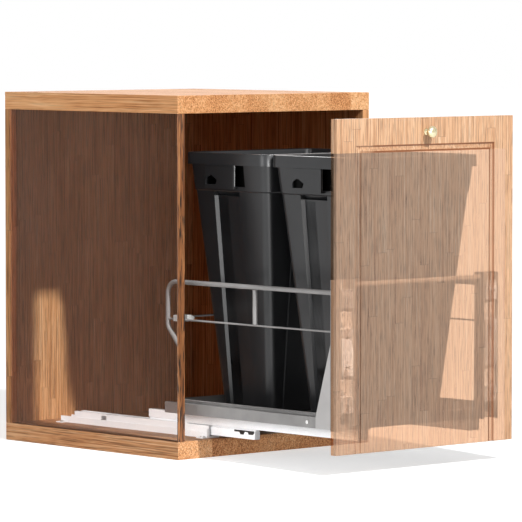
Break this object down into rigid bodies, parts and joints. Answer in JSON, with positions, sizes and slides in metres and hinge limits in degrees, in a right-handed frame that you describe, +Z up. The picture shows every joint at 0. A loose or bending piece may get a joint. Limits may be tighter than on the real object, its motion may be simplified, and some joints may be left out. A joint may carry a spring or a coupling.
{
  "type": "pull-out waste cabinet",
  "caption": "Base cabinet whose door pulls out a steel carriage on ball-bearing slides, with waste bins one behind the other.",
  "frame": {"origin": "centre of the cabinet's flat underside, on the floor", "axes": "+X to the right as seen from the door, +Y from the door to the cabinet's back, +Z up"},
  "size_m": [0.55, 1.0583, 0.762],
  "materials": {
    "cabinet_wood": "satin walnut veneer",
    "door_wood": "satin oak, shown ghosted",
    "clear_panel": "clear, polished",
    "grey_steel": "grey satin coat",
    "white_steel": "white satin coat",
    "zinc_steel": "zinc plated",
    "knob_metal": "pale polished brass",
    "black_plastic": "semi-matt black",
    "white_plastic": "white gloss"
  },
  "bodies": {
    "cabinet": {"bottom_panel": "cabinet_wood", "top_panel": "cabinet_wood", "back_panel": "cabinet_wood", "left_side_panel": "clear_panel", "right_side_panel": "cabinet_wood", "left_front_edge_strip": "cabinet_wood", "floor_channel_left": "white_steel", "floor_channel_right": "white_steel", "cabinet_slide_member_left": "white_steel", "cabinet_slide_member_right": "white_steel", "floor_screw_front_left": "zinc_steel", "floor_screw_front_right": "zinc_steel", "floor_screw_rear_left": "zinc_steel", "floor_screw_rear_right": "zinc_steel"},
    "carriage": {"door": "door_wood", "knob": "knob_metal", "knob_screw": "zinc_steel", "base_pan": "grey_steel", "front_cross_rail": "grey_steel", "rear_cross_rail": "grey_steel", "rear_wire": "grey_steel", "bracket_crossbar": "grey_steel", "base_side_rail_left": "grey_steel", "base_side_rail_right": "grey_steel", "frame_screw_left": "zinc_steel", "frame_screw_right": "zinc_steel", "drawer_slide_member_left": "white_steel", "drawer_slide_member_right": "white_steel", "side_loop_left": "grey_steel", "side_loop_right": "grey_steel", "side_strut_left": "grey_steel", "side_strut_right": "grey_steel", "side_wire_left": "grey_steel", "side_wire_right": "grey_steel", "wire_clip_left": "white_plastic", "wire_clip_right": "white_plastic", "door_bracket_left": "grey_steel", "door_bracket_right": "grey_steel", "adjuster_plate_left": "zinc_steel", "adjuster_plate_right": "zinc_steel", "cam_adjuster_lower_left": "zinc_steel", "cam_adjuster_lower_right": "zinc_steel", "cam_adjuster_upper_left": "zinc_steel", "cam_adjuster_upper_right": "zinc_steel", "door_screw_lower_left": "zinc_steel", "door_screw_lower_right": "zinc_steel", "door_screw_upper_left": "zinc_steel", "door_screw_upper_right": "zinc_steel"},
    "middle_slide_left": {"middle_slide_member_left": "white_steel"},
    "lower_cage_left": {"lower_ball_cage_left": "zinc_steel"},
    "upper_cage_left": {"upper_ball_cage_left": "zinc_steel"},
    "middle_slide_right": {"middle_slide_member_right": "white_steel"},
    "lower_cage_right": {"lower_ball_cage_right": "zinc_steel"},
    "upper_cage_right": {"upper_ball_cage_right": "zinc_steel"},
    "front_bin": {"front_bin": "black_plastic"},
    "rear_bin": {"rear_bin": "black_plastic"}
  },
  "joints": [
    {"name": "carriage_slide", "type": "slide", "parent": "cabinet", "child": "carriage", "axis": [0, -1, 0], "range_m": [-0.458, 0.062]},
    {"name": "middle_slide_left_travel", "type": "slide", "parent": "cabinet", "child": "middle_slide_left", "axis": [0, -1, 0], "range_m": [-0.229, 0.031]},
    {"name": "middle_slide_right_travel", "type": "slide", "parent": "cabinet", "child": "middle_slide_right", "axis": [0, -1, 0], "range_m": [-0.229, 0.031]},
    {"name": "lower_cage_left_travel", "type": "slide", "parent": "cabinet", "child": "lower_cage_left", "axis": [0, -1, 0], "range_m": [-0.1145, 0.0155]},
    {"name": "lower_cage_right_travel", "type": "slide", "parent": "cabinet", "child": "lower_cage_right", "axis": [0, -1, 0], "range_m": [-0.1145, 0.0155]},
    {"name": "upper_cage_left_travel", "type": "slide", "parent": "cabinet", "child": "upper_cage_left", "axis": [0, -1, 0], "range_m": [-0.3435, 0.0465]},
    {"name": "upper_cage_right_travel", "type": "slide", "parent": "cabinet", "child": "upper_cage_right", "axis": [0, -1, 0], "range_m": [-0.3435, 0.0465]},
    {"name": "front_bin_lift", "type": "slide", "parent": "carriage", "child": "front_bin", "axis": [0, 0, 1], "range_m": [0, 0.07]},
    {"name": "rear_bin_lift", "type": "slide", "parent": "carriage", "child": "rear_bin", "axis": [0, 0, 1], "range_m": [0, 0.07]}
  ],
  "couplings": [
    {"joint": "middle_slide_left_travel", "follows": "carriage_slide", "ratio": 0.5},
    {"joint": "middle_slide_right_travel", "follows": "carriage_slide", "ratio": 0.5},
    {"joint": "lower_cage_left_travel", "follows": "carriage_slide", "ratio": 0.25},
    {"joint": "lower_cage_right_travel", "follows": "carriage_slide", "ratio": 0.25},
    {"joint": "upper_cage_left_travel", "follows": "carriage_slide", "ratio": 0.75},
    {"joint": "upper_cage_right_travel", "follows": "carriage_slide", "ratio": 0.75}
  ]
}
